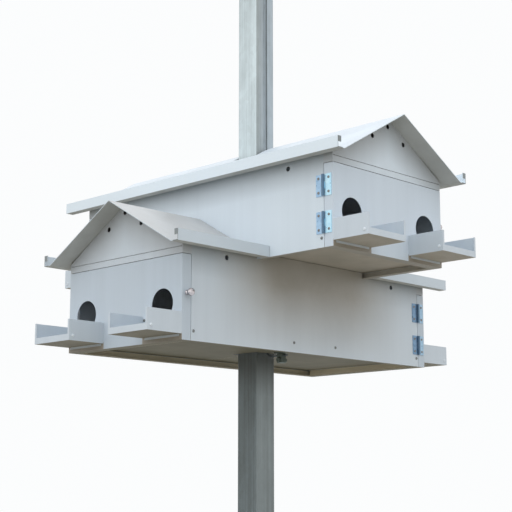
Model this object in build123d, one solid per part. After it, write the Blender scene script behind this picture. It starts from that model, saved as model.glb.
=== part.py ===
from build123d import *
import math
import os

# Sheet aluminium and the two crossed houses, all in millimetres
sheet = 1.2
house_length = 664.0
house_width = 304.8
wall_height = 159.0
flange = 12.0
seam = 1.0

# Roof, one bent sheet over each run of the house
roof_rise = 95.0
gable_overhang = 38.0
eave_overhang = 30.5
trough_offset = 13.0
trough_bend = 4.0
ridge_bend = 2.0
lip_height = 20.0
lip_tab = 9.0
lip_tab_height = 10.0

# Gables, each a triangle over a header band
header_height = 12.0
header_groove = 1.0
gable_foot = 10.0
gable_slit = 3.0
slit_start = 60.0
ceiling_setback = 3.0

# Floor and rooms
floor_raise = 12.0
upstand_gap = 1.0
chase_half = 37.0
divider_end_gap = 4.0

# Doors and their round entrances
door_depth = 20.0
entrance_diameter = 54.0
entrance_height = 64.0
stop_lap = 7.0
stop_clearance = 0.4
stop_end_gap = 8.0
vent_diameter = 9.0
side_vent_from_end = 104.0
side_vent_below_eave = 7.5
apex_vent_height = 80.0
pair_vent_height = 55.0
pair_vent_offset = 44.0

# Porches, one folded tray under each entrance
porch_width = 99.0
porch_depth = 76.0
porch_height = 37.0
porch_lip = 11.0
porch_tab = 10.0
porch_front_tab = 4.0
porch_raise = 10.0
porch_foot = 4.0
porch_foot_inset = 6.0

# Butt hinges
hinge_height = 38.0
hinge_leaf = 17.0
hinge_sheet = 1.2
knuckle_radius = 2.6
axis_standoff = 3.0
pin_radius = 1.2
pin_clearance = 0.2
knuckle_gap = 0.3
lower_hinge_height = 43.0
upper_hinge_height = 108.0

# Door knob
knob_radius = 6.0
knob_neck_radius = 3.4
knob_length = 12.0
knob_neck_length = 5.0
knob_height = 80.0
knob_from_end = 11.5

# Post and its head
post_size = 50.8
post_wall = 2.5
post_corner = 4.0
rest_height = 1800.0
travel_up = 1000.0
head_reveal = 40.0
passage_clearance = 6.0
sheave_radius = 20.0
sheave_width = 8.0
groove_depth = 4.0
sheave_rise = 2.0
axle_radius = 3.0
cheek = 2.5

# Guides that slide on the post
guide_clearance = 0.4
guide_wall = 3.0
guide_height = 45.0
guide_foot = 5.0

# Lift cable, from inside the post over the sheave to its clip under the floor
cable_radius = 1.6
cable_sides = 8
cable_standoff = 2.0
cable_clearance = 0.3
cable_notch = 6.0
cable_bend = 14.0
cable_end_drop = 5.0
cable_tail = 9.0
cable_foot = 60.0
clip_place = 67.0
clip_width = 13.0
clip_drop = 9.0
clip_base = 3.0

half_length = house_length / 2
half_width = house_width / 2
stack = wall_height
ridge_height = wall_height + roof_rise
entrance_offset = half_width - porch_width / 2
wall_end = half_length - door_depth - seam
door_height = wall_height - header_height - seam
roof_run = half_width + trough_offset
roof_slope = math.atan2(roof_rise, roof_run)
roof_drop = sheet / math.cos(roof_slope)
wall_top = wall_height + trough_offset * math.tan(roof_slope)
passage = post_size + 2 * passage_clearance
cable_place = post_size / 2 + cable_standoff + cable_radius
groove_radius = sheave_radius - groove_depth
groove_slope = math.atan2(sheave_width / 2, groove_depth)
cable_turn = groove_radius + (cable_radius + cable_clearance) / math.sin(groove_slope)
sheave_centre = cable_place - cable_turn
post_height = rest_height + stack + ridge_height + roof_drop + travel_up + head_reveal
sheave_level = post_height + post_wall + sheave_radius + sheave_rise
cable_end_level = rest_height + cable_end_drop


def box(x0, x1, y0, y1, z0, z1):
    """A box between two corners."""
    block = Box(x1 - x0, y1 - y0, z1 - z0)
    return Pos((x0 + x1) / 2, (y0 + y1) / 2, (z0 + z1) / 2) * block


def folded(points, thickness):
    """The closed outline of a sheet bent along an open line, thickness to its left."""
    line = [Vector(*p) for p in points]
    inner = []
    for i, point in enumerate(line):
        before = (point - line[i - 1]).normalized() if i > 0 else None
        after = (line[i + 1] - point).normalized() if i < len(line) - 1 else None
        one = before if before is not None else after
        two = after if after is not None else before
        left_one = Vector(-one.Y, one.X)
        left_two = Vector(-two.Y, two.X)
        middle = (left_one + left_two).normalized()
        inner.append(point + middle * (thickness / middle.dot(left_one)))
    outline = [(p.X, p.Y) for p in line] + [(p.X, p.Y) for p in reversed(inner)]
    return make_face(Polyline(*outline, close=True))


def rounded(section, corner, bend):
    """A bent sheet's section with the fold at this corner of its outline rounded."""
    near = section.vertices().sort_by_distance(Vector(*corner))
    outside, inside = Vector(near[0]), Vector(near[1])
    section = fillet(section.vertices().sort_by_distance(outside)[0], bend + sheet)
    return fillet(section.vertices().sort_by_distance(inside)[0], bend)


def along_x(face, x0, x1):
    """A section drawn in Y and Z, run from x0 to x1."""
    section = Plane.YZ.offset(x0) * face
    return extrude(section, amount=x1 - x0, dir=(1, 0, 0))


def post_hole(z0, z1, cable_side):
    """The square passage for the post, with the cable's notch some quarter turns from +X."""
    half = passage / 2
    notch = box(0, cable_place + cable_notch, -cable_notch, cable_notch, z0, z1)
    return box(-half, half, -half, half, z0, z1) + notch.rotate(Axis.Z, 90 * cable_side)


def door_stop():
    """The joggled strip inside a wall's end that the free side of a door closes over."""
    behind = half_width - sheet - stop_clearance
    low = floor_raise + stop_end_gap
    high = door_height - stop_end_gap
    strip = box(wall_end - stop_lap, wall_end + stop_lap, behind - sheet, behind, low, high)
    return strip + box(wall_end - stop_lap, wall_end, behind, half_width - sheet, low, high)


def side_wall(side, crossed):
    """A long wall with its rim and ceiling flanges and its door stop."""
    face = side * half_width
    inside = side * (half_width - sheet)
    rim = side * (half_width - flange)
    y0, y1 = sorted((face, inside))
    r0, r1 = sorted((face, rim))
    wall = box(-wall_end, wall_end, y0, y1, 0, wall_height)
    upstand_from = half_width + seam if crossed else 0
    for end in (-1, 1):
        x0, x1 = sorted((end * upstand_from, end * wall_end))
        wall += box(x0, x1, y0, y1, 0, wall_top)
    if crossed:
        middle = half_width - flange - seam
        wall += box(-middle, middle, y0, y1, 0, wall_height + floor_raise - upstand_gap)
    wall += box(-wall_end, wall_end, r0, r1, 0, sheet)
    wall += box(-wall_end, wall_end, r0, r1, wall_height - 2 * sheet, wall_height - sheet)
    wall += door_stop() if side > 0 else door_stop().rotate(Axis.Z, 180)
    for end in (-1, 1):
        x = end * (half_length - side_vent_from_end)
        z = wall_height - side_vent_below_eave
        drill = Cylinder(vent_diameter / 2, 8 * sheet, rotation=(90, 0, 0))
        wall -= Pos(x, (y0 + y1) / 2, z) * drill
    return wall


def floor_half(end, cable_side):
    """Half of the floor, a tray turned down on three sides to the wall rims."""
    inside = half_width - sheet
    top = floor_raise + sheet
    x_seam = seam / 4
    tray = box(x_seam, wall_end, -inside, inside, floor_raise, top)
    for side in (-1, 1):
        y0, y1 = sorted((side * inside, side * (inside - sheet)))
        tray += box(x_seam, wall_end, y0, y1, sheet, top)
    tray += box(wall_end - sheet, wall_end, -(half_width - flange), half_width - flange, 0, top)
    tray -= post_hole(-1, 2 * top, cable_side if end > 0 else cable_side + 2)
    return tray if end > 0 else tray.rotate(Axis.Z, 180)


def ceiling(cable_side):
    """The flat sheet that closes the rooms at the eaves."""
    inside = half_width - sheet
    end = half_length - ceiling_setback
    plate = box(-end, end, -inside, inside, wall_height - sheet, wall_height)
    return plate - post_hole(0, ridge_height, cable_side)


def partition(end):
    """The cross wall beside the post and the wall between two rooms."""
    inside = half_width - sheet
    floor_top = floor_raise + sheet
    top = wall_height - 2 * sheet
    cross = box(chase_half, chase_half + sheet, -inside, inside, floor_top, top)
    divider_end = wall_end - divider_end_gap
    cross += box(chase_half, divider_end, -sheet / 2, sheet / 2, floor_top, top)
    return cross if end > 0 else cross.rotate(Axis.Z, 180)


def gable(end):
    """The fixed end over a door: triangle, header band, side returns and a foot inside."""
    base = wall_height - header_height
    inside = half_width - sheet
    shoulder = wall_top - gable_slit
    meets = ridge_height - slit_start * math.tan(roof_slope)
    points = [(-half_width, base), (half_width, base), (half_width, shoulder), (slit_start, meets)]
    points += [(0, ridge_height), (-slit_start, meets), (-half_width, shoulder)]
    sheet_face = make_face(Polyline(*points, close=True))
    for y, z in ((0, apex_vent_height), (pair_vent_offset, pair_vent_height),
                 (-pair_vent_offset, pair_vent_height)):
        sheet_face -= Pos(y, wall_height + z) * Circle(vent_diameter / 2)
    plate = along_x(sheet_face, half_length - sheet, half_length)
    plate -= box(half_length - 2 * sheet, half_length + sheet, -inside, inside,
                 wall_height - header_groove, wall_height)
    plate += box(half_length - gable_foot, half_length, -inside, inside, wall_height, wall_height + sheet)
    for side in (-1, 1):
        y0, y1 = sorted((side * half_width, side * inside))
        plate += box(wall_end, half_length, y0, y1, base, shoulder)
    return plate if end > 0 else plate.rotate(Axis.Z, 180)


def roof(x0, x1, open_ends):
    """A run of roof with upturned eave lips, and small tabs on the lips at its open ends."""
    lip = half_width + eave_overhang
    trough = roof_run
    under = wall_height
    right = [(trough, under), (lip, under), (lip, under + lip_height)]
    left = [(-y, z) for y, z in reversed(right)]
    section = folded(left + [(0, ridge_height)] + right, sheet)
    for side in (-1, 1):
        section = rounded(section, (side * trough, under), trough_bend)
    section = fillet(section.vertices().sort_by(Axis.Y)[-1], ridge_bend + sheet)
    run = along_x(section, x0, x1)
    for x, into in open_ends:
        u0, u1 = sorted((x, x + into * sheet))
        for side in (-1, 1):
            y0, y1 = sorted((side * lip, side * (lip - lip_tab)))
            run += box(u0, u1, y0, y1, under + lip_height - lip_tab_height, under + lip_height)
    return run


def door():
    """A door pan with two round entrances, at the house's far end."""
    inner = half_length - door_depth
    pan = box(inner, half_length, -half_width, half_width, 0, door_height)
    pan -= box(inner - 1, half_length - sheet, -half_width + sheet, half_width - sheet,
               sheet, door_height - sheet)
    for side in (-1, 1):
        drill = Cylinder(entrance_diameter / 2, 8 * sheet, rotation=(0, 90, 0))
        pan -= Pos(half_length, side * entrance_offset, entrance_height) * drill
    return pan


def porch(side):
    """A folded tray under one entrance, tabbed to the door's face."""
    middle = side * entrance_offset
    y0 = middle - porch_width / 2
    y1 = middle + porch_width / 2
    x0 = half_length
    x1 = half_length + porch_depth
    z0 = porch_raise
    tray = box(x0, x1, y0, y1, z0, z0 + sheet)
    tray += box(x1 - sheet, x1, y0, y1, z0, z0 + porch_lip)
    for edge, into in ((y0, 1), (y1, -1)):
        s0, s1 = sorted((edge, edge + into * sheet))
        t0, t1 = sorted((edge, edge + into * porch_tab))
        f0, f1 = sorted((edge, edge + into * porch_front_tab))
        tray += box(x0, x1, s0, s1, z0, z0 + porch_height)
        tray += box(x0, x0 + sheet, t0, t1, z0, z0 + porch_height)
        tray += box(x1 - sheet, x1, f0, f1, z0, z0 + porch_height)
    tray += box(x0, x0 + sheet, y0 + porch_foot_inset, y1 - porch_foot_inset, z0 - porch_foot, z0)
    return tray


def hinge_leaf_solid(level, moving):
    """One leaf of a butt hinge with its knuckles, on the wall or on the door."""
    hinge_x = half_length - door_depth - seam / 2
    hinge_y = -(half_width + axis_standoff)
    bottom = level - hinge_height / 2
    third = hinge_height / 3
    direction = 1 if moving else -1
    x0, x1 = sorted((hinge_x, hinge_x + direction * hinge_leaf))
    leaf = box(x0, x1, -half_width - hinge_sheet, -half_width, bottom, bottom + hinge_height)
    room = knuckle_radius + pin_clearance
    for part in range(3):
        own = (part == 1) == moving
        low = bottom + part * third
        if own:
            barrel = Cylinder(knuckle_radius, third - knuckle_gap)
            leaf += Pos(hinge_x, hinge_y, low + third / 2) * barrel
        else:
            low_cut = low - (knuckle_gap / 2 if part > 0 else 1)
            high_cut = low + third + (knuckle_gap / 2 if part < 2 else 1)
            leaf -= box(hinge_x - room, hinge_x + room, hinge_y - room, -half_width + 1,
                        low_cut, high_cut)
    pin = Cylinder(pin_radius, hinge_height - knuckle_gap)
    middle = Pos(hinge_x, hinge_y, bottom + hinge_height / 2)
    if moving:
        return leaf - middle * Cylinder(pin_radius + pin_clearance, hinge_height)
    return leaf + middle * pin


def knob():
    """The turned knob on the door's free return: a neck and a wider head."""
    profile = [(0, 0), (knob_neck_radius, 0), (knob_neck_radius, knob_neck_length)]
    profile += [(knob_radius, knob_neck_length), (knob_radius, knob_length), (0, knob_length)]
    turned = revolve(make_face(Plane.XZ * Polyline(*profile, close=True)), Axis.Z)
    place = Pos(half_length - knob_from_end, half_width, knob_height)
    return place * (Rot(-90, 0, 0) * turned)


def post():
    """The square tube with rounded corners."""
    inner = post_size - 2 * post_wall
    section = RectangleRounded(post_size, post_size, post_corner)
    section -= RectangleRounded(inner, inner, post_corner - post_wall)
    return extrude(section, amount=post_height)


def post_cap():
    """The cap of the post, a plate with two cheeks that carry the sheave on its axle."""
    half = post_size / 2
    base = post_height + post_wall
    cap = box(-half, half, -half, half, post_height, base)
    hole0 = sheave_centre - cable_turn - cable_notch
    hole1 = hole0 + 2 * cable_notch
    cap -= box(hole0, hole1, -cable_notch, cable_notch, post_height - 1, base + 1)
    gap = sheave_width / 2 + cable_clearance
    for side in (-1, 1):
        y0, y1 = sorted((side * gap, side * (gap + cheek)))
        cap += box(sheave_centre - sheave_radius, sheave_centre + sheave_radius * 0.7, y0, y1, base,
                   sheave_level + sheave_radius * 0.6)
    axle = Cylinder(axle_radius, 2 * (gap + cheek))
    return cap + Pos(sheave_centre, 0, sheave_level) * (Rot(90, 0, 0) * axle)


def head_sheave():
    """The wheel with a V groove that turns on the axle between the cheeks."""
    bore = axle_radius + cable_clearance
    half = sheave_width / 2
    profile = [(bore, -half), (sheave_radius, -half), (groove_radius, 0)]
    profile += [(sheave_radius, half), (bore, half)]
    wheel = revolve(make_face(Plane.XZ * Polyline(*profile, close=True)), Axis.Z)
    return Pos(sheave_centre, 0, sheave_level) * (Rot(90, 0, 0) * wheel)


def cable(*edges):
    """Steel cable along a route that starts straight up or down, with eight sides for its strands."""
    route = Wire(edges)
    section = Plane(route @ 0, z_dir=route % 0) * RegularPolygon(cable_radius, cable_sides)
    return sweep(section, path=route)


def head_cable():
    """The cable inside the post, and over the sheave."""
    inside = (sheave_centre - cable_turn, 0, sheave_level)
    top = (sheave_centre, 0, sheave_level + cable_turn)
    up = Edge.make_line((inside[0], 0, cable_foot), inside)
    return cable(up, Edge.make_three_point_arc(inside, top, (cable_place, 0, sheave_level)))


def lift_cable():
    """The cable beside the post, from the sheave down to the lower house's floor."""
    foot = cable_end_level + cable_bend
    return cable(Edge.make_line((cable_place, 0, sheave_level), (cable_place, 0, foot)))


def cable_end():
    """The cable's end, bent outwards under the floor and through its clip, with a short tail."""
    start = (cable_place, 0, cable_end_level + cable_bend)
    end = (cable_place + cable_bend, 0, cable_end_level)
    rise = cable_bend * (1 - math.sqrt(0.5))
    middle = (cable_place + rise, 0, cable_end_level + rise)
    bend = Edge.make_three_point_arc(start, middle, end)
    run = Edge.make_line(end, (clip_place + clip_width / 2 + cable_tail, 0, cable_end_level))
    return cable(bend, run)


def guide(level, flange_up):
    """A square collar that keeps the house upright on the post."""
    inner = post_size / 2 + guide_clearance
    outer = inner + guide_wall
    foot = passage / 2 + guide_foot
    collar = box(-outer, outer, -outer, outer, level, level + guide_height)
    foot_at = level + guide_height - guide_wall if flange_up else level
    collar += box(-foot, foot, -foot, foot, foot_at, foot_at + guide_wall)
    collar -= box(-inner, inner, -inner, inner, level - 1, level + guide_height + 1)
    return collar - box(inner - 1, foot + 1, -cable_notch, cable_notch, level - 1, level + guide_height + 1)


def cable_clip():
    """The clip that holds the cable's end on the floor, a saddle block below a base plate."""
    half = clip_width / 2
    top = rest_height + floor_raise
    clip = box(clip_place - clip_width, clip_place + clip_width, -half, half, top - clip_base, top)
    clip += box(clip_place - half, clip_place + half, -half, half, rest_height - clip_drop, top)
    bore = Cylinder(cable_radius + cable_clearance, 2 * clip_width, rotation=(0, 90, 0))
    return clip - Pos(clip_place, 0, cable_end_level) * bore


def save(solids, name):
    """Write one named piece, made of one solid or of a few like ones."""
    pieces = [s for shape in solids for s in shape.solids()]
    whole = pieces[0] if len(pieces) == 1 else Compound(children=pieces)
    export_step(whole, "parts/" + name + ".step")


def place_lower(shape):
    """From the house's own frame to the lower house, whose length runs front to back."""
    return Pos(0, 0, rest_height) * (Rot(0, 0, 90) * shape)


def place_upper(shape):
    """From the house's own frame to the upper house, which stands on the lower one."""
    return Pos(0, 0, rest_height + stack) * shape


def build_house(label, place, side_names, end_names, crossed):
    """Write every fixed piece and both doors of one house."""
    cable_side = -1 if crossed else 0
    for side in (-1, 1):
        save([place(side_wall(side, crossed))], label + "_wall_" + side_names[side])
    save([place(floor_half(1, cable_side)), place(floor_half(-1, cable_side))], label + "_floor")
    save([place(ceiling(cable_side))], label + "_ceiling")
    leaves = []
    for end in (-1, 1):
        turn = Rot(0, 0, 0 if end > 0 else 180)
        name = end_names[end]
        save([place(gable(end))], label + "_gable_" + name)
        save([place(partition(end))], label + "_partition_" + name)
        save([place(turn * door())], label + "_door_" + name)
        save([place(turn * porch(-1)), place(turn * porch(1))], label + "_porches_" + name)
        save([place(turn * knob())], label + "_knob_" + name)
        moving = []
        for level in (lower_hinge_height, upper_hinge_height):
            moving.append(place(turn * hinge_leaf_solid(level, True)))
            leaves.append(place(turn * hinge_leaf_solid(level, False)))
        save(moving, label + "_door_leaves_" + name)
    save(leaves, label + "_hinge_leaves")
    reach = half_length + gable_overhang
    if crossed:
        cut = half_width + seam
        save([place(roof(cut, reach, [(reach, -1)]))], label + "_roof_" + end_names[1])
        save([place(roof(-reach, -cut, [(-reach, 1)]))], label + "_roof_" + end_names[-1])
    else:
        whole = roof(-reach, reach, [(-reach, 1), (reach, -1)])
        passage_through = post_hole(wall_height, ridge_height + 10, cable_side)
        save([place(whole - passage_through)], label + "_roof")


os.makedirs("parts", exist_ok=True)
build_house("lower", place_lower, {-1: "right", 1: "left"}, {-1: "front", 1: "back"}, True)
build_house("upper", place_upper, {-1: "front", 1: "back"}, {-1: "left", 1: "right"}, False)
save([post()], "post")
save([post_cap()], "post_cap")
save([head_sheave()], "head_sheave")
save([guide(rest_height + floor_raise + sheet, False)], "lower_guide")
save([guide(rest_height + stack + wall_height - sheet - guide_height, True)], "upper_guide")
save([head_cable()], "head_cable")
save([lift_cable()], "lift_cable")
save([cable_clip(), cable_end()], "cable_clip")
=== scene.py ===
import math

import bmesh
import bpy
from mathutils import Matrix, Vector


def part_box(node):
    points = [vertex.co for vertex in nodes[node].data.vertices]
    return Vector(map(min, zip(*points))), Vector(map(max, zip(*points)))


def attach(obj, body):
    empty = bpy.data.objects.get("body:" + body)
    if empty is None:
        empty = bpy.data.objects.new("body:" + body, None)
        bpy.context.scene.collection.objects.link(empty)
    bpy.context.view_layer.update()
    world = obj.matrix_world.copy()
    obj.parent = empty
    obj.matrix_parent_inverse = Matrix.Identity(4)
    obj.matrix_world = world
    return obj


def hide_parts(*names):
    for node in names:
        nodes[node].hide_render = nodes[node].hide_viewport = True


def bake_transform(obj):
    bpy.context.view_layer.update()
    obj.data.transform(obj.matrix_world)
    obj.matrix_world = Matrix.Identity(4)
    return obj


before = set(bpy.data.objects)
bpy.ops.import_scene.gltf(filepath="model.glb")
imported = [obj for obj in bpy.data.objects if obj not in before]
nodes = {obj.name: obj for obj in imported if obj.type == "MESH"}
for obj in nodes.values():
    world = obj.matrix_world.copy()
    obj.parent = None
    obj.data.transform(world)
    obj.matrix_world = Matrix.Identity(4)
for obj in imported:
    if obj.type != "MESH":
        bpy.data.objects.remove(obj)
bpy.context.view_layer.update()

# Walls, doors and gables of the two houses.
# Pre-painted aluminium sheet, white outside and left bare inside, cut and folded on a brake.
# The rolled coil shows as faint upright streaks, and what faces the ground is painted darker as shade.

house_base = {"lower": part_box("lower_wall_left")[0][2], "upper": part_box("upper_wall_front")[0][2]}
half_length, half_width = 0.332, 0.1524
sheet = 0.0012
wall_height = 0.159
floor_rise = 0.0128
roof_slope = 0.574
porch_half = 0.0495
entrance_offset = half_width - porch_half

# Each finish is two tones, which a noise mixes. A pattern's size is its features in a metre.
# The lower house's whites are set darker than the upper house's, and the doors' apart from the walls', as
# painted light and shade on one white paint.
house_white = {"lower": ((0.625, 0.69, 0.745, 1), (0.565, 0.625, 0.68, 1)),
               "upper": ((0.71, 0.79, 0.855, 1), (0.65, 0.725, 0.79, 1))}
door_white = {"lower": ((0.55, 0.62, 0.69, 1), (0.495, 0.56, 0.62, 1)),
              "upper": ((0.64, 0.715, 0.79, 1), (0.585, 0.655, 0.725, 1))}
bare_metal = ((0.84, 0.87, 0.90, 1), (0.72, 0.75, 0.78, 1))
# Painted shade: on faces that look down, on wall tops under the eaves, on gables under the rakes, on door
# strips under the porches, on the lower walls under the upper house, and on the rim below a floor.
wall_shade = ((0.44, 0.425, 0.39, 1), (0.375, 0.355, 0.315, 1))
eave_shade = ((0.37, 0.41, 0.44, 1), (0.32, 0.355, 0.38, 1))
gable_shade = ((0.42, 0.435, 0.45, 1), (0.355, 0.365, 0.37, 1))
porch_strip_shade = ((0.37, 0.335, 0.285, 1), (0.30, 0.27, 0.22, 1))
rim_shade = {"lower": ((0.215, 0.20, 0.14, 1), (0.155, 0.14, 0.095, 1)), "upper": wall_shade}
rim_inside = {"lower": ((0.64, 0.585, 0.45, 1), (0.57, 0.52, 0.40, 1)),
              "upper": ((0.60, 0.58, 0.52, 1), (0.53, 0.51, 0.46, 1))}
upright = (1, 1, 0.02)
wide_size, wide_contrast, wide_share = 46.0, (0.38, 0.66), 0.34
fine_size, fine_contrast, fine_share = 420.0, (0.3, 0.7), 0.12
cloud_size, cloud_contrast, cloud_share = 4.0, (0.35, 0.7), 0.5
blotch_size, blotch_contrast = 11.0, (0.35, 0.68)
metal_contrast = (0.3, 0.7)
paint_roughness = 0.30
streaks_add, dust_adds, metal_adds = 0.14, 0.34, 0.25


def new_material(name):
    """An empty node material with its shader, ready for links."""
    material = bpy.data.materials.new(name)
    material.use_nodes = True
    shader = material.node_tree.nodes["Principled BSDF"]
    return material, material.node_tree, shader


def math_node(tree, operation, first, second=None):
    """One arithmetic step between sockets or plain numbers."""
    step = tree.nodes.new("ShaderNodeMath")
    step.operation = operation
    for socket, value in zip(step.inputs, (first, second)):
        if value is None:
            continue
        if isinstance(value, (int, float)):
            socket.default_value = value
        else:
            tree.links.new(value, socket)
    return step.outputs[0]


def times(tree, *factors):
    """The product of sockets or numbers. A product of masks is 1 where every mask is 1."""
    product = factors[0]
    for factor in factors[1:]:
        product = math_node(tree, "MULTIPLY", product, factor)
    return product


def weighted(tree, *shares, base=None):
    """A base, if there is one, plus each value times its share."""
    total = base
    for value, share in shares:
        part = times(tree, value, share)
        total = part if total is None else math_node(tree, "ADD", total, part)
    return total


def less_than(tree, value, limit):
    """1 where the value is below the limit."""
    return math_node(tree, "LESS_THAN", value, limit)


def more_than(tree, value, limit):
    """1 where the value is above the limit."""
    return math_node(tree, "GREATER_THAN", value, limit)


def mix_colour(tree, factor, first, second):
    """A blend of two colours, each a socket or a plain value."""
    mixer = tree.nodes.new("ShaderNodeMix")
    mixer.data_type = "RGBA"
    for socket, value in ((mixer.inputs[0], factor), (mixer.inputs[6], first), (mixer.inputs[7], second)):
        if isinstance(value, (int, float, tuple)):
            socket.default_value = value
        else:
            tree.links.new(value, socket)
    return mixer.outputs[2]


def noise(tree, size, detail=3.0, roughness=0.5, stretch=(1, 1, 1)):
    """Noise on object coordinates, drawn out along the axes where the stretch is small."""
    place = tree.nodes.new("ShaderNodeTexCoord")
    mapping = tree.nodes.new("ShaderNodeMapping")
    mapping.inputs["Scale"].default_value = stretch
    tree.links.new(place.outputs["Object"], mapping.inputs["Vector"])
    texture = tree.nodes.new("ShaderNodeTexNoise")
    texture.inputs["Scale"].default_value = size
    texture.inputs["Detail"].default_value = detail
    texture.inputs["Roughness"].default_value = roughness
    tree.links.new(mapping.outputs["Vector"], texture.inputs["Vector"])
    return texture.outputs["Fac"]


def ramp(tree, value, start, end):
    """The value spread from 0 at the start to 1 at the end, which may lie below it, and held there."""
    spread = tree.nodes.new("ShaderNodeMapRange")
    spread.clamp = True
    spread.inputs["From Min"].default_value = start
    spread.inputs["From Max"].default_value = end
    tree.links.new(value, spread.inputs["Value"])
    return spread.outputs["Result"]


def relief(tree, shader, height, strength, distance):
    """Fine unevenness of a surface."""
    bump = tree.nodes.new("ShaderNodeBump")
    bump.inputs["Strength"].default_value = strength
    bump.inputs["Distance"].default_value = distance
    tree.links.new(height, bump.inputs["Height"])
    tree.links.new(bump.outputs["Normal"], shader.inputs["Normal"])


def facing(tree, axis, sign=1.0, low=0.4, high=0.9):
    """1 on faces that look along one axis, or against it with a sign of -1."""
    surface = tree.nodes.new("ShaderNodeNewGeometry")
    parts = tree.nodes.new("ShaderNodeSeparateXYZ")
    tree.links.new(surface.outputs["Normal"], parts.inputs[0])
    return ramp(tree, times(tree, parts.outputs[axis], sign), low, high)


def facing_either_way(tree, axis):
    """1 on faces that look along an axis or against it."""
    return math_node(tree, "ADD", facing(tree, axis), facing(tree, axis, -1.0))


def object_place(tree):
    """A point's X, Y and Z, as the outputs of one node."""
    place = tree.nodes.new("ShaderNodeTexCoord")
    parts = tree.nodes.new("ShaderNodeSeparateXYZ")
    tree.links.new(place.outputs["Object"], parts.inputs[0])
    return parts.outputs


def house_place(tree, house):
    """How far a point lies from a house's middle, along and across it, and its height in the house."""
    place = object_place(tree)
    axes = ("X", "Y") if house == "upper" else ("Y", "X")
    along, across = (math_node(tree, "ABSOLUTE", place[axis]) for axis in axes)
    return along, across, math_node(tree, "SUBTRACT", place["Z"], house_base[house])


def inside_rooms(tree, house):
    """1 on the sheet faces that close the rooms of one house, apart from the folded edges."""
    end_face = half_length - sheet * 0.8
    folded_edge = half_width - 0.008
    ceiling = wall_height + 0.0005
    along, across, height = house_place(tree, house)
    return times(tree, less_than(tree, along, end_face), less_than(tree, across, folded_edge),
                 more_than(tree, height, floor_rise), less_than(tree, height, ceiling))


def under_eaves(tree, house):
    """Painted shade at the top of a wall, under the eaves."""
    reach, strength = 0.048, 0.72
    along, across, height = house_place(tree, house)
    return times(tree, ramp(tree, height, wall_height - reach, wall_height), strength)


def under_upper_house(tree, house):
    """Painted shade on the walls of the lower house, where the upper one stands out over them."""
    clean_from, full_from = 0.27, 0.11
    foot, top = 0.002, 0.118
    strength = 0.97
    along, across, height = house_place(tree, house)
    return times(tree, ramp(tree, along, clean_from, full_from), ramp(tree, height, foot, top), strength)


def under_rakes(tree, house):
    """Painted shade on a gable along the roof's sloping edges, and a trace of it on the header band below.
    """
    rake_low, rake_high = wall_height + 0.020, wall_height + 0.095
    rake_strength, header_strength = 0.85, 0.1
    along, across, height = house_place(tree, house)
    reach = weighted(tree, (across, roof_slope), base=height)
    rake = times(tree, ramp(tree, reach, rake_low, rake_high), rake_strength)
    header = times(tree, less_than(tree, height, wall_height), header_strength)
    return math_node(tree, "MAXIMUM", rake, header)


def under_porches(tree, house):
    """Painted shade on the strip of a door below its porches."""
    strip_half, strip_top = porch_half + 0.001, 0.0125
    outer_face = half_length - sheet * 0.5
    along, across, height = house_place(tree, house)
    off = math_node(tree, "ABSOLUTE", math_node(tree, "SUBTRACT", across, entrance_offset))
    return times(tree, less_than(tree, off, strip_half), less_than(tree, height, strip_top),
                 more_than(tree, along, outer_face))


def under_floor(tree, house):
    """Painted shade and warm bounced light on the inner faces of the rim that stands below a floor."""
    side_face, end_face = half_width - sheet * 0.5, half_length - sheet * 0.5
    along, across, height = house_place(tree, house)
    return times(tree, less_than(tree, height, floor_rise - sheet), less_than(tree, across, side_face),
                 less_than(tree, along, end_face))


def enamel(name, house, streak=upright, paint=None, underside_shades=wall_shade, marks=()):
    """White coil paint with faint rolling streaks, painted shade below, and a bare metal room side.

    Each mark is a mask's function and the two colours of the painted shade there."""
    material, tree, shader = new_material(name)
    wide = noise(tree, wide_size, detail=2.0, stretch=streak)
    fine = noise(tree, fine_size, detail=2.0, stretch=streak)
    cloud = noise(tree, cloud_size, detail=4.0)
    blotch = ramp(tree, noise(tree, blotch_size, detail=5.0, roughness=0.62), *blotch_contrast)
    down = facing(tree, "Z", -1.0)
    within = inside_rooms(tree, house)
    tone = weighted(tree, (ramp(tree, wide, *wide_contrast), wide_share),
                    (ramp(tree, fine, *fine_contrast), fine_share),
                    (ramp(tree, cloud, *cloud_contrast), cloud_share))
    outside = mix_colour(tree, tone, *(paint or house_white[house]))
    for mask, colours in marks:
        outside = mix_colour(tree, mask(tree, house), outside, mix_colour(tree, blotch, *colours))
    outside = mix_colour(tree, down, outside, mix_colour(tree, blotch, *underside_shades))
    worn_metal = mix_colour(tree, ramp(tree, wide, *metal_contrast), *bare_metal)
    tree.links.new(mix_colour(tree, within, outside, worn_metal), shader.inputs["Base Color"])
    roughness = weighted(tree, (fine, streaks_add), (down, dust_adds), (within, metal_adds),
                         base=paint_roughness)
    tree.links.new(roughness, shader.inputs["Roughness"])
    relief(tree, shader, weighted(tree, (wide, 2.0), base=fine), strength=0.05, distance=0.0006)
    return material


def dress(names, material):
    """Give CAD pieces their finish."""
    for name in names:
        slots = nodes[name].data.materials
        slots.clear()
        slots.append(material)


def named(*words):
    """The CAD pieces whose names hold all of these words."""
    return [n for n in sorted(nodes) if all(w in n for w in words)]


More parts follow.
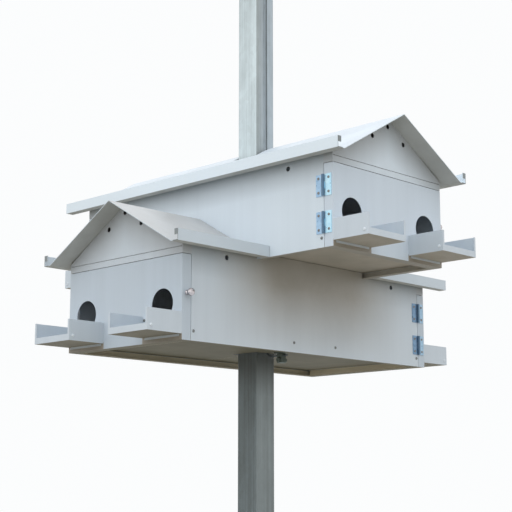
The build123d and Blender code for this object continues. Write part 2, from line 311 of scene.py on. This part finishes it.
for house in house_base:
    rim_mark = (under_floor, rim_inside[house])
    wall_marks = [(under_eaves, eave_shade), rim_mark]
    if house == "lower":
        wall_marks.append((under_upper_house, wall_shade))
    wall_paint = enamel(house + "_wall_enamel", house, underside_shades=rim_shade[house], marks=wall_marks)
    gable_paint = enamel(house + "_gable_enamel", house, marks=[(under_rakes, gable_shade)])
    door_paint = enamel(house + "_door_enamel", house, paint=door_white[house], underside_shades=rim_shade[house],
                        marks=[(under_porches, porch_strip_shade), rim_mark])
    dress(named(house + "_wall_"), wall_paint)
    dress(named(house + "_gable_"), gable_paint)
    dress([n for n in named(house + "_door_") if "leaves" not in n], door_paint)

# Porch trays under the entrances.
# The same painted sheet, folded up at the sides and as a low lip in front, with riveted corners.
# Small tabs at the back are screwed to the door.

porch_white = ((0.61, 0.675, 0.735, 1), (0.55, 0.61, 0.665, 1))
# The porches' undersides are painted shade, the lower house's darker.
porch_underside_shade = {"lower": ((0.25, 0.23, 0.175, 1), (0.19, 0.175, 0.13, 1)),
              "upper": ((0.50, 0.47, 0.42, 1), (0.40, 0.37, 0.31, 1))}
for house in house_base:
    porch_paint = enamel(house + "_porch_enamel", house, paint=porch_white, underside_shades=porch_underside_shade[house])
    dress(named(house + "_porches_"), porch_paint)

# Roofs, floors and ceilings.
# The roof is one sheet bent at the ridge and the eaves, with the roll marks down its slopes.
# Each floor is two shallow trays that meet at the post, and the ceiling is one flat sheet.

down_slope = {"lower": (1, 0.02, 0.04), "upper": (0.02, 1, 0.04)}
tab_reach = 0.018
# Painted shade: the slopes are set darker than the lips against the strong light from overhead, and the
# lower roof and lip darker than the upper's.
shaded_roof_top = {"lower": ((0.51, 0.52, 0.525, 1), (0.45, 0.455, 0.455, 1)),
            "upper": ((0.65, 0.715, 0.77, 1), (0.58, 0.635, 0.69, 1))}
lip_white = {"lower": ((0.63, 0.70, 0.755, 1), (0.57, 0.635, 0.69, 1)),
             "upper": ((0.78, 0.86, 0.92, 1), (0.72, 0.80, 0.86, 1))}
# Painted shade on the soffits, on the tabs at the lip ends, and on the floors' undersides, the lower house's
# darkest.
soffit_shade = ((0.56, 0.57, 0.55, 1), (0.44, 0.445, 0.42, 1))
tab_shade = ((0.26, 0.29, 0.30, 1), (0.20, 0.22, 0.22, 1))
floor_underside_shade = {"lower": ((0.165, 0.15, 0.098, 1), (0.12, 0.108, 0.066, 1)),
              "upper": ((0.53, 0.49, 0.43, 1), (0.415, 0.39, 0.335, 1))}


def upper_side(tree, house):
    """The slopes of a roof, which are painted darker than its lip as shade."""
    return facing(tree, "Z", low=0.3, high=0.7)


def lip_ends(tree, house):
    """The small tabs that close the ends of the eave lips."""
    along, across, height = house_place(tree, house)
    ends = facing_either_way(tree, "X" if house == "upper" else "Y")
    return times(tree, ends, more_than(tree, across, half_width + tab_reach))


for house, streak in down_slope.items():
    roof_paint = enamel(house + "_roof_enamel", house, streak, paint=lip_white[house], underside_shades=soffit_shade,
                        marks=[(upper_side, shaded_roof_top[house]), (lip_ends, tab_shade)])
    floor_paint = enamel(house + "_floor_enamel", house, streak, underside_shades=floor_underside_shade[house],
                         marks=[(under_floor, rim_inside[house])])
    dress(named(house + "_roof"), roof_paint)
    dress(named(house + "_floor"), floor_paint)
    dress(named(house + "_ceiling"), enamel(house + "_ceiling_enamel", house, streak))

# Room partitions.
# Thin bare aluminium, never painted and dulled by handling.
# A cross wall beside the post and a wall between the rooms stand on the floor of each end.

mill_grey = ((0.74, 0.76, 0.78, 1), (0.60, 0.62, 0.64, 1))


def mottle(tree, shader, colours, size, roughness, metallic=0.0, detail=3.0, stretch=(1, 1, 1),
           contrast=None):
    """Two colours mixed by a noise that also breaks up the gloss. Gives back the mixed colour.

    The roughness is its lowest value and what the noise adds to it."""
    grain = noise(tree, size, detail, stretch=stretch)
    colour = mix_colour(tree, ramp(tree, grain, *contrast) if contrast else grain, *colours)
    lowest, added = roughness
    tree.links.new(colour, shader.inputs["Base Color"])
    tree.links.new(weighted(tree, (grain, added), base=lowest), shader.inputs["Roughness"])
    shader.inputs["Metallic"].default_value = metallic
    return colour


mill_material, tree, shader = new_material("mill_aluminium")
mottle(tree, shader, mill_grey, size=300.0, roughness=(0.35, 0.3), metallic=0.4, stretch=(1, 1, 0.03))
dress(named("_partition_"), mill_material)

# Post and its cap.
# Square steel tube, hot-dip galvanized: a skin of zinc crystals with run marks down the faces.
# It is painted lighter above the house and darker low down, as painted light and shade, with a short band of
# painted shadow just below the house.

# The tones by face and height are painted light and shade: the front faces lighter than the sides above the
# house and darker below it, and the sides darker towards their front corner.
side_low = ((0.155, 0.175, 0.175, 1), (0.27, 0.31, 0.315, 1))
front_low = ((0.085, 0.10, 0.095, 1), (0.19, 0.225, 0.235, 1))
side_high = ((0.33, 0.38, 0.41, 1), (0.54, 0.61, 0.66, 1))
corner_high = ((0.24, 0.27, 0.27, 1), (0.42, 0.46, 0.46, 1))
front_high = ((0.45, 0.51, 0.52, 1), (0.73, 0.82, 0.84, 1))
shadow_band_colour = (0.06, 0.06, 0.05, 1)
shadow_band_strength = 0.55
band_foot, band_full = house_base["lower"] - 0.070, house_base["lower"] - 0.012
band_fades, band_top = house_base["lower"], house_base["lower"] + 0.070
shaded_below, lit_above = house_base["lower"] - 0.02, house_base["lower"] + 0.34
corner_reach = 0.022
crystal_size, run_size, bloom_size = 150.0, 210.0, 30.0
crystal_stretch, run_stretch, bloom_stretch = (1, 1, 0.55), (1, 1, 0.012), (1, 1, 0.35)
crystal_share, run_share, bloom_share = 0.22, 0.5, 0.28
run_contrast, bloom_contrast = (0.3, 0.7), (0.35, 0.65)

galvanized, tree, shader = new_material("galvanized_steel")
place = tree.nodes.new("ShaderNodeTexCoord")
mapping = tree.nodes.new("ShaderNodeMapping")
mapping.inputs["Scale"].default_value = crystal_stretch
tree.links.new(place.outputs["Object"], mapping.inputs["Vector"])
crystals = tree.nodes.new("ShaderNodeTexVoronoi")
crystals.inputs["Scale"].default_value = crystal_size
tree.links.new(mapping.outputs["Vector"], crystals.inputs["Vector"])
crystal_tones = tree.nodes.new("ShaderNodeSeparateColor")
tree.links.new(crystals.outputs["Color"], crystal_tones.inputs[0])
crystal = crystal_tones.outputs[0]
runs = ramp(tree, noise(tree, run_size, roughness=0.6, stretch=run_stretch), *run_contrast)
bloom = ramp(tree, noise(tree, bloom_size, detail=4.0, roughness=0.6, stretch=bloom_stretch),
             *bloom_contrast)
zinc_tone = weighted(tree, (crystal, crystal_share), (runs, run_share), (bloom, bloom_share))

post_place = object_place(tree)
front_face = facing_either_way(tree, "Y")
towards_corner = ramp(tree, post_place["Y"], 0.0, -corner_reach)
low = mix_colour(tree, front_face, mix_colour(tree, zinc_tone, *side_low),
                 mix_colour(tree, zinc_tone, *front_low))
side = mix_colour(tree, towards_corner, mix_colour(tree, zinc_tone, *side_high),
                  mix_colour(tree, zinc_tone, *corner_high))
high = mix_colour(tree, front_face, side, mix_colour(tree, zinc_tone, *front_high))
whole = mix_colour(tree, ramp(tree, post_place["Z"], shaded_below, lit_above), low, high)
house_shadow = times(tree, ramp(tree, post_place["Z"], band_foot, band_full),
                  ramp(tree, post_place["Z"], band_top, band_fades), shadow_band_strength)
tree.links.new(mix_colour(tree, house_shadow, whole, shadow_band_colour), shader.inputs["Base Color"])
tree.links.new(weighted(tree, (crystal, 0.2), base=0.36), shader.inputs["Roughness"])
shader.inputs["Metallic"].default_value = 0.35
relief(tree, shader, zinc_tone, strength=0.12, distance=0.0004)
dress(["post", "post_cap"], galvanized)

# Butt hinges on the doors and walls.
# Pressed steel leaves rolled round a pin, bright zinc plated with a blue passivate.
# One leaf of each is screwed to the wall and one to the door.

# The barrel is painted dark blue as shade, and the leaf tones are painted light and shade: the lower house's
# darker, the door leaves lighter than the wall leaves.
barrel_from = half_width + 0.0017
barrel_fade = 0.0006
barrel_shade_blue = (0.10, 0.17, 0.25, 1)
leaf_colours = {
    ("lower", "hinge_leaves"): ((0.15, 0.26, 0.40, 1), (0.24, 0.37, 0.52, 1)),
    ("lower", "door_leaves"): ((0.30, 0.46, 0.60, 1), (0.41, 0.59, 0.74, 1)),
    ("upper", "hinge_leaves"): ((0.30, 0.47, 0.66, 1), (0.44, 0.63, 0.82, 1)),
    ("upper", "door_leaves"): ((0.49, 0.79, 0.96, 1), (0.63, 0.89, 1.0, 1))}
for (house, leaves), colours in leaf_colours.items():
    hinge_zinc, tree, shader = new_material(f"{house}_{leaves}_zinc")
    flat = mottle(tree, shader, colours, size=160.0, roughness=(0.2, 0.25), metallic=0.6,
                  contrast=(0.3, 0.7))
    along, across, height = house_place(tree, house)
    rolled = ramp(tree, across, barrel_from, barrel_from + barrel_fade)
    tree.links.new(mix_colour(tree, rolled, flat, barrel_shade_blue), shader.inputs["Base Color"])
    dress(named(f"{house}_{leaves}"), hinge_zinc)

# Door knobs.
# Small turned knobs, nickel plated, held from inside by a screw. The profile is turned on a lathe:
# a waisted neck, a flared head with a rounded rim, and a slight dome.

house_ends = {"lower": ("front", "back"), "upper": ("left", "right")}
knob_along = half_length - 0.0115
knob_height = 0.080
knob_steps = 40
knob_profile = ((0.0, 0.0), (0.0046, 0.0), (0.0046, 0.0009), (0.0038, 0.0018), (0.0033, 0.0042),
                (0.0038, 0.0060), (0.0058, 0.0074), (0.0067, 0.0090), (0.0067, 0.0108), (0.0060, 0.0125),
                (0.0043, 0.0134), (0.0018, 0.0137), (0.0, 0.0137))
same_place = 1e-7
nickel_tones = ((0.60, 0.56, 0.57, 1), (0.50, 0.46, 0.47, 1))
nickel, tree, shader = new_material("nickel_plate")
mottle(tree, shader, nickel_tones, size=700.0, roughness=(0.12, 0.12), metallic=0.95, detail=2.0)


def looking(direction):
    """The turn that points a piece, drawn looking up, in a direction."""
    return Vector(direction).to_track_quat("Z", "Y").to_matrix().to_4x4()


def place_in_house(house, end, along, across, height, direction):
    """The matrix that puts a piece, drawn looking up, at one end of a house.

    Along is from the house's middle, across is negative at the hinge side, height is from its foot."""
    turn = Matrix.Rotation(math.pi if end in ("left", "front") else 0, 4, "Z")
    if house == "lower":
        turn = Matrix.Rotation(math.pi / 2, 4, "Z") @ turn
    level = Matrix.Translation((0, 0, house_base[house]))
    return level @ turn @ Matrix.Translation((along, across, height)) @ looking(direction)


def finished(bm, name, material, body):
    """A closed mesh with its faces outwards, as a piece that rides on a body, if one is named."""
    bmesh.ops.remove_doubles(bm, verts=bm.verts[:], dist=same_place)
    bmesh.ops.recalc_face_normals(bm, faces=bm.faces[:])
    mesh = bpy.data.meshes.new(name)
    bm.to_mesh(mesh)
    bm.free()
    mesh.materials.append(material)
    piece = bpy.data.objects.new(name, mesh)
    bpy.context.scene.collection.objects.link(piece)
    if body:
        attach(piece, body)
    return piece


for house, ends in house_ends.items():
    for end in ends:
        bm = bmesh.new()
        chain = [bm.verts.new((radius, 0, height)) for radius, height in knob_profile]
        outline = [bm.edges.new(pair) for pair in zip(chain, chain[1:])]
        bmesh.ops.spin(bm, geom=chain + outline, cent=(0, 0, 0), axis=(0, 0, 1), angle=math.tau,
                       steps=knob_steps, use_merge=True)
        bmesh.ops.remove_doubles(bm, verts=bm.verts[:], dist=same_place)
        seat = place_in_house(house, end, knob_along, half_width, knob_height, (0, 1, 0))
        bmesh.ops.transform(bm, matrix=seat, verts=bm.verts[:])
        knob = finished(bm, f"{house}_{end}_turned_knob", nickel, f"{house}_{end}_door")
        for face in knob.data.polygons:
            face.use_smooth = True
        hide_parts(f"{house}_knob_{end}")

# Nylon guides and head wheel.
# Moulded grey nylon. The guides are collars inside the house that slide on the post, and the
# wheel turns between the cap's cheeks and carries the cable over its top.

nylon_tones = ((0.16, 0.165, 0.17, 1), (0.21, 0.215, 0.22, 1))
nylon, tree, shader = new_material("grey_nylon")
mottle(tree, shader, nylon_tones, size=200.0, roughness=(0.45, 0.2))
dress(["lower_guide", "upper_guide", "head_sheave"], nylon)

# Lift cable and its clip.
# Steel cable of six strands laid round a core. It comes up inside the post, goes over the head wheel
# and down to the lower floor, where its end is bent out and clamped in a saddle block with a bolt.

cable_radius = 0.00157
cable_lay = 0.024
cable_bend = 0.014
cable_strands = 6
strand_outline = (1.0, 0.94, 0.80, 0.94)
steps_a_turn = 15
turn_joint = 1e-6
rope_low, rope_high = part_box("lift_cable")
cable_place = (rope_low[0] + rope_high[0]) / 2
inner_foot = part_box("head_cable")[0][2]
wheel_low, wheel_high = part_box("head_sheave")
wheel_centre = (wheel_low[0] + wheel_high[0]) / 2
wheel_level = (wheel_low[2] + wheel_high[2]) / 2
wrap_radius = cable_place - wheel_centre
clip_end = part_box("cable_clip")[1][0]
end_level = house_base["lower"] + 0.005
cable_tones = ((0.115, 0.135, 0.145, 1), (0.185, 0.21, 0.225, 1))
dark_tones = ((0.075, 0.095, 0.080, 1), (0.16, 0.19, 0.165, 1))

cable_steel, tree, shader = new_material("cable_steel")
mottle(tree, shader, cable_tones, size=260.0, roughness=(0.3, 0.3), metallic=0.6, detail=4.0,
       stretch=(1, 1, 0.2), contrast=(0.3, 0.7))
dark_finish, tree, shader = new_material("dark_plated_steel")
mottle(tree, shader, dark_tones, size=120.0, roughness=(0.35, 0.25), metallic=0.5, detail=4.0)


def laid_cable(length):
    """A straight length of cable, drawn down from the origin: one turn of the lay, repeated."""
    turns = max(1, round(length / cable_lay))
    one_turn = bmesh.new()
    bmesh.ops.create_circle(one_turn, segments=cable_strands * len(strand_outline), radius=cable_radius)
    for number, vertex in enumerate(one_turn.verts):
        vertex.co *= strand_outline[number % len(strand_outline)]
    bmesh.ops.spin(one_turn, geom=one_turn.edges[:] + one_turn.verts[:], cent=(0, 0, 0), axis=(0, 0, 1),
                   dvec=(0, 0, -length / turns / steps_a_turn), angle=math.tau, steps=steps_a_turn)
    template = bpy.data.meshes.new("one_turn")
    one_turn.to_mesh(template)
    one_turn.free()
    bm = bmesh.new()
    for number in range(turns):
        first = len(bm.verts)
        bm.from_mesh(template)
        bm.verts.ensure_lookup_table()
        bmesh.ops.translate(bm, verts=bm.verts[first:], vec=(0, 0, -length * number / turns))
    bpy.data.meshes.remove(template)
    bmesh.ops.remove_doubles(bm, verts=bm.verts[:], dist=turn_joint)
    bmesh.ops.holes_fill(bm, edges=[edge for edge in bm.edges if edge.is_boundary], sides=0)
    return bm


def bend_round(bm, centre, radius, start, sweep):
    """Wrap a straight cable round a centre in the XZ plane. What is left over runs on straight."""
    for vertex in bm.verts:
        along = -vertex.co.z
        turned = min(max(along / radius, 0.0), sweep)
        outward = Vector((math.cos(start + turned), 0, math.sin(start + turned)))
        onward = Vector((-math.sin(start + turned), 0, math.cos(start + turned)))
        side = Vector((0, vertex.co.y, 0))
        vertex.co = centre + outward * (radius + vertex.co.x) + side + onward * (along - turned * radius)


bm = laid_cable(wheel_level - rope_low[2])
bmesh.ops.translate(bm, verts=bm.verts[:], vec=(cable_place, 0, wheel_level))
lift_cable = finished(bm, "laid_lift_cable", cable_steel, None)
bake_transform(lift_cable)
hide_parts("lift_cable")

bm = laid_cable(math.pi * wrap_radius + wheel_level - inner_foot)
bend_round(bm, Vector((wheel_centre, 0, wheel_level)), wrap_radius, 0.0, math.pi)
head_cable = finished(bm, "laid_head_cable", cable_steel, "post")
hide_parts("head_cable")

bm = laid_cable(cable_bend * math.pi / 2 + clip_end - cable_place - cable_bend)
bend_round(bm, Vector((cable_place + cable_bend, 0, end_level + cable_bend)), cable_bend,
           math.pi, math.pi / 2)
finished(bm, "laid_cable_end", cable_steel, "house")

clip_place = 0.067
clip_half = 0.0065
base_plate = {"half": 2 * clip_half, "low": house_base["lower"] + 0.009,
              "high": house_base["lower"] + 0.012, "bevel": 0.0008}
saddle_block = {"half": clip_half, "low": house_base["lower"] - 0.009,
                "high": house_base["lower"] + 0.0092, "bevel": 0.0016}
bolt_level = house_base["lower"] - 0.0035
washer = 0.0008
bolt_head = {"side": -1, "start": washer, "radius": 0.0046, "thickness": 0.0032, "sides": 6}
nut = {"side": 1, "start": washer, "radius": 0.0046, "thickness": 0.0036, "sides": 6}
head_washer = {"side": -1, "start": 0.0, "radius": 0.0055, "thickness": washer, "sides": 24}
nut_washer = {"side": 1, "start": 0.0, "radius": 0.0055, "thickness": washer, "sides": 24}
thread_end = {"side": 1, "start": washer, "radius": 0.0021, "thickness": 0.0058, "sides": 24}

bm = bmesh.new()
for part in (base_plate, saddle_block):
    block = bmesh.ops.create_cube(bm, size=1.0)["verts"]
    thickness = part["high"] - part["low"]
    bmesh.ops.scale(bm, vec=(2 * part["half"], 2 * clip_half, thickness), verts=block)
    bmesh.ops.translate(bm, vec=(clip_place, 0, (part["low"] + part["high"]) / 2), verts=block)
    edges = list({edge for vertex in block for edge in vertex.link_edges})
    bmesh.ops.bevel(bm, geom=edges, offset=part["bevel"], affect="EDGES", segments=3, profile=0.5,
                    material=-1)
for part in (bolt_head, nut, head_washer, nut_washer, thread_end):
    ring = bmesh.ops.create_circle(bm, cap_ends=True, segments=part["sides"], radius=part["radius"])["verts"]
    cap = ring[0].link_faces[0]
    grown = bmesh.ops.extrude_face_region(bm, geom=[cap])["geom"]
    lifted = [v for v in grown if isinstance(v, bmesh.types.BMVert)]
    bmesh.ops.translate(bm, vec=(0, 0, part["thickness"]), verts=lifted)
    out_from = part["side"] * (clip_half + part["start"])
    place = Matrix.Translation((clip_place, out_from, bolt_level)) @ looking((0, part["side"], 0))
    bmesh.ops.transform(bm, matrix=place, verts=ring + lifted)
saddle = finished(bm, "saddle_clip", dark_finish, "house")
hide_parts("cable_clip")

# Screws and rivets.
# Pan-head screws with a cross recess hold the hinges, porches and floors, white pop rivets close the
# corners of the porch trays, and the wheel's axle has headed ends. All sit against what they hold.

head_facets = 16

# These are shares of a head's height or radius: each crown step goes inward by its first share of
# the radius and upward by its second share of the height.
edge_rise = 0.35
crown_steps = ((0.16, 0.35), (0.26, 0.3))
cross_outline = (1.0, 0.55, 0.38, 0.55)
dimple_outline = (0.62,)
recess_taper, recess_depth = 0.06, 0.45
brown_tones = ((0.20, 0.18, 0.165, 1), (0.36, 0.335, 0.32, 1))
grey_tones = ((0.17, 0.175, 0.17, 1), (0.28, 0.29, 0.28, 1))
rivet_tones = ((0.80, 0.85, 0.89, 1), (0.70, 0.76, 0.82, 1))


def fastener_template(radius, height, outline):
    """A fastener's head on the origin, looking up, with a recess of the outline in its crown."""
    bm = bmesh.new()
    bmesh.ops.create_circle(bm, cap_ends=True, segments=head_facets, radius=radius)
    top = bm.faces[:][0]
    if top.normal.z < 0:
        top.normal_flip()
    grown = bmesh.ops.extrude_face_region(bm, geom=[top])["geom"]
    rim = [v for v in grown if isinstance(v, bmesh.types.BMVert)]
    bmesh.ops.translate(bm, verts=rim, vec=(0, 0, height * edge_rise))
    top = [f for f in grown if isinstance(f, bmesh.types.BMFace)][0]
    for inward, upward in crown_steps:
        bmesh.ops.inset_region(bm, faces=[top], thickness=radius * inward, depth=height * upward,
                               use_even_offset=False)
    for number, vertex in enumerate(top.verts):
        flat = Vector((vertex.co.x, vertex.co.y, 0)) * outline[number % len(outline)]
        vertex.co = flat + Vector((0, 0, vertex.co.z))
    bmesh.ops.inset_region(bm, faces=[top], thickness=radius * recess_taper, depth=-height * recess_depth,
                           use_even_offset=False)
    bmesh.ops.recalc_face_normals(bm, faces=bm.faces[:])
    mesh = bpy.data.meshes.new("head")
    bm.to_mesh(mesh)
    bm.free()
    return mesh


def fasten(name, template, places, body, material):
    """Copies of one head, each put by its matrix, as one piece."""
    bm = bmesh.new()
    for place in places:
        first = len(bm.verts)
        bm.from_mesh(template)
        bm.verts.ensure_lookup_table()
        bmesh.ops.transform(bm, matrix=place, verts=bm.verts[first:])
    return finished(bm, name, material, body)


brown_steel, tree, shader = new_material("brown_screw")
mottle(tree, shader, brown_tones, size=900.0, roughness=(0.3, 0.3), metallic=0.8)
grey_steel, tree, shader = new_material("grey_screw")
mottle(tree, shader, grey_tones, size=900.0, roughness=(0.28, 0.3), metallic=0.8)
white_rivet, tree, shader = new_material("white_rivet")
mottle(tree, shader, rivet_tones, size=800.0, roughness=(0.25, 0.15))

axle_end = fastener_template(radius=0.0050, height=0.0018, outline=dimple_outline)
hinge_screw = fastener_template(radius=0.0024, height=0.0013, outline=cross_outline)
small_screw = fastener_template(radius=0.0027, height=0.0016, outline=cross_outline)
pop_rivet = fastener_template(radius=0.0029, height=0.0015, outline=dimple_outline)

running_gap = 0.0003
cheek_thickness = 0.0025
cheek_face = (wheel_high[1] - wheel_low[1]) / 2 + running_gap + cheek_thickness
axle_places = [Matrix.Translation((wheel_centre, side * cheek_face, wheel_level)) @ looking((0, side, 0))
               for side in (-1, 1)]
fasten("axle_ends", axle_end, axle_places, "post", dark_finish)

seam_place = half_length - 0.0205
hinge_levels = (0.043, 0.108)
hinge_face = half_width + sheet
hinge_screw_reach, hinge_screw_rise = 0.0115, 0.0125
end_screw_place, end_screw_height = seam_place - 0.006, 0.0165
middle_screw_place, middle_screw_height = 0.057, 0.0175
tab_screw_offset, tab_screw_height = 0.0445, 0.040
rivet_place, rivet_height = half_length + 0.0674, 0.0186

for house, ends in house_ends.items():
    fixed, floor_screws = [], []
    for end in ends:
        moving, tab_screws, rivets = [], [], []
        for level in hinge_levels:
            for step in (-hinge_screw_rise, hinge_screw_rise):
                for leaf, reach in ((fixed, -hinge_screw_reach), (moving, hinge_screw_reach)):
                    leaf.append(place_in_house(house, end, seam_place + reach, -hinge_face, level + step,
                                               (0, -1, 0)))
        for side in (-1, 1):
            for along, height in ((end_screw_place, end_screw_height),
                                  (middle_screw_place, middle_screw_height)):
                floor_screws.append(place_in_house(house, end, along, side * half_width, height,
                                                   (0, side, 0)))
            middle = side * entrance_offset
            for edge in (-1, 1):
                tab_screws.append(place_in_house(house, end, half_length + sheet,
                                                 middle + edge * tab_screw_offset, tab_screw_height,
                                                 (1, 0, 0)))
                rivets.append(place_in_house(house, end, rivet_place, middle + edge * porch_half,
                                             rivet_height, (0, edge, 0)))
        body = f"{house}_{end}_door"
        fasten(f"{house}_{end}_door_hinge_screws", hinge_screw, moving, body, brown_steel)
        fasten(f"{house}_{end}_porch_screws", small_screw, tab_screws, body, grey_steel)
        fasten(f"{house}_{end}_porch_rivets", pop_rivet, rivets, body, white_rivet)
    fasten(house + "_wall_hinge_screws", hinge_screw, fixed, "house", brown_steel)
    fasten(house + "_floor_screws", small_screw, floor_screws, "house", grey_steel)

# Floor, sky and lamps.
# The floor and sky show pale, but the light that bounces up from the floor is duller and warmer.
# Two large soft lamps light the front and the right side.

floor_radius = 14.0
floor_shown, floor_bounce = (0.62, 0.635, 0.645, 1), (0.265, 0.24, 0.195, 1)
sky_shown = (0.97, 0.98, 0.985, 1)
sky_level, sky_overhead = (0.385, 0.395, 0.405, 1), (0.97, 1.0, 1.03, 1)
sky_fall = 3.0
sky_strength, shown_strength = 2.15, 1.0
lamp_size = 3.0
lamp_aim = Vector((0, 0, 2.0))
lamp_colour = (0.98, 1.0, 1.02)


def shown_directly(tree):
    """1 for rays from the camera, by a reflection or through glass, and 0 for bounced light."""
    ray = tree.nodes.new("ShaderNodeLightPath")
    seen = math_node(tree, "MAXIMUM", ray.outputs["Is Camera Ray"], ray.outputs["Is Glossy Ray"])
    return math_node(tree, "MAXIMUM", seen, ray.outputs["Is Transmission Ray"])


ground = bpy.data.meshes.new("floor")
bm = bmesh.new()
bmesh.ops.create_circle(bm, cap_ends=True, segments=64, radius=floor_radius)
bm.to_mesh(ground)
bm.free()
floor = bpy.data.objects.new("floor", ground)
bpy.context.scene.collection.objects.link(floor)
floor_finish, tree, shader = new_material("floor_finish")
floor_colour = mix_colour(tree, shown_directly(tree), floor_bounce, floor_shown)
tree.links.new(floor_colour, shader.inputs["Base Color"])
shader.inputs["Roughness"].default_value = 0.9
shader.inputs["Specular IOR Level"].default_value = 0.1
ground.materials.append(floor_finish)

world = bpy.data.worlds.new("sky")
bpy.context.scene.world = world
world.use_nodes = True
sky = world.node_tree
background = sky.nodes["Background"]
direction = sky.nodes.new("ShaderNodeTexCoord")
parts = sky.nodes.new("ShaderNodeSeparateXYZ")
sky.links.new(direction.outputs["Generated"], parts.inputs[0])
height = math_node(sky, "POWER", ramp(sky, parts.outputs["Z"], 0.0, 1.0), sky_fall)
seen = shown_directly(sky)
sky_light = mix_colour(sky, height, sky_level, sky_overhead)
sky.links.new(mix_colour(sky, seen, sky_light, sky_shown), background.inputs["Color"])
dimming = times(sky, seen, sky_strength - shown_strength)
sky.links.new(math_node(sky, "SUBTRACT", sky_strength, dimming), background.inputs["Strength"])


def area_lamp(name, place, power):
    """A soft square lamp that looks at the houses."""
    lamp = bpy.data.lights.new(name, "AREA")
    lamp.size = lamp_size
    lamp.energy = power
    lamp.color = lamp_colour
    holder = bpy.data.objects.new(name, lamp)
    holder.location = place
    holder.rotation_euler = (lamp_aim - Vector(place)).to_track_quat("-Z", "Y").to_euler()
    bpy.context.scene.collection.objects.link(holder)


area_lamp("front_lamp", (0.2, -4.6, 3.2), 28.0)
area_lamp("side_lamp", (4.6, -0.6, 3.0), 14.0)

# Camera.
# It stands where the near view was taken from, a little below the houses, and looks up at them.

eye = Vector((1.705, -1.742, 1.548))
aim = Vector((0.0, 0.0, 2.005))
lens_pixels = 1270.0
picture_pixels = 512.0
camera_data = bpy.data.cameras.new("camera")
camera_data.sensor_width = 36.0
camera_data.lens = camera_data.sensor_width * lens_pixels / picture_pixels
camera = bpy.data.objects.new("camera", camera_data)
camera.location = eye
camera.rotation_euler = (aim - eye).to_track_quat("-Z", "Y").to_euler()
bpy.context.scene.collection.objects.link(camera)
bpy.context.scene.camera = camera
bpy.context.scene.view_settings.view_transform = "Standard"
